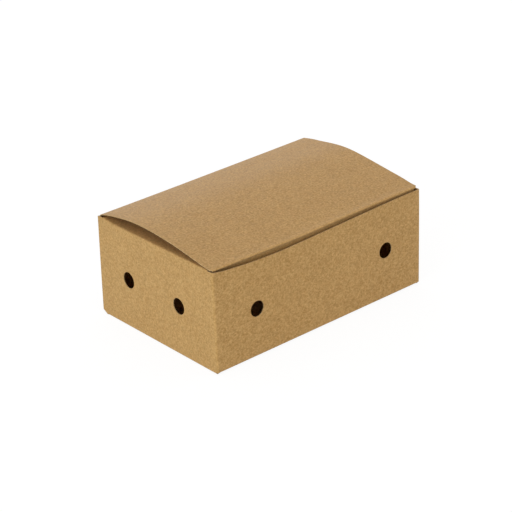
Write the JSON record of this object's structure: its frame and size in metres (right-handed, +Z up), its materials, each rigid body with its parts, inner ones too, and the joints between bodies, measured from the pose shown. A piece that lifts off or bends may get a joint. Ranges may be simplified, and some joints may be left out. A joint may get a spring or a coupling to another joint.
{
  "type": "folded kraft board takeaway box with hinged lid",
  "caption": "Low oblong takeaway box folded from plain kraft board, with round air vents in its walls, dust flaps and a bowed hinged lid that tucks in at the front.",
  "frame": {"origin": "middle of the underside, on the surface the box stands on", "axes": "+X along the length; the front wall, where the lid tucks in, faces -Y and the lid's crease runs along the back at +Y; +Z up"},
  "size_m": [0.172, 0.114, 0.0774],
  "materials": {
    "kraft_board": "uncoated, fine mottled fibre"
  },
  "bodies": {
    "tray": {"tray": "kraft_board"},
    "lid": {"lid": "kraft_board"}
  },
  "joints": [
    {"name": "lid_crease", "type": "hinge", "parent": "tray", "child": "lid", "pos_m": [0, 0.05691, 0.06696], "axis": [-1, 0, 0], "range_deg": [0, 175]}
  ]
}
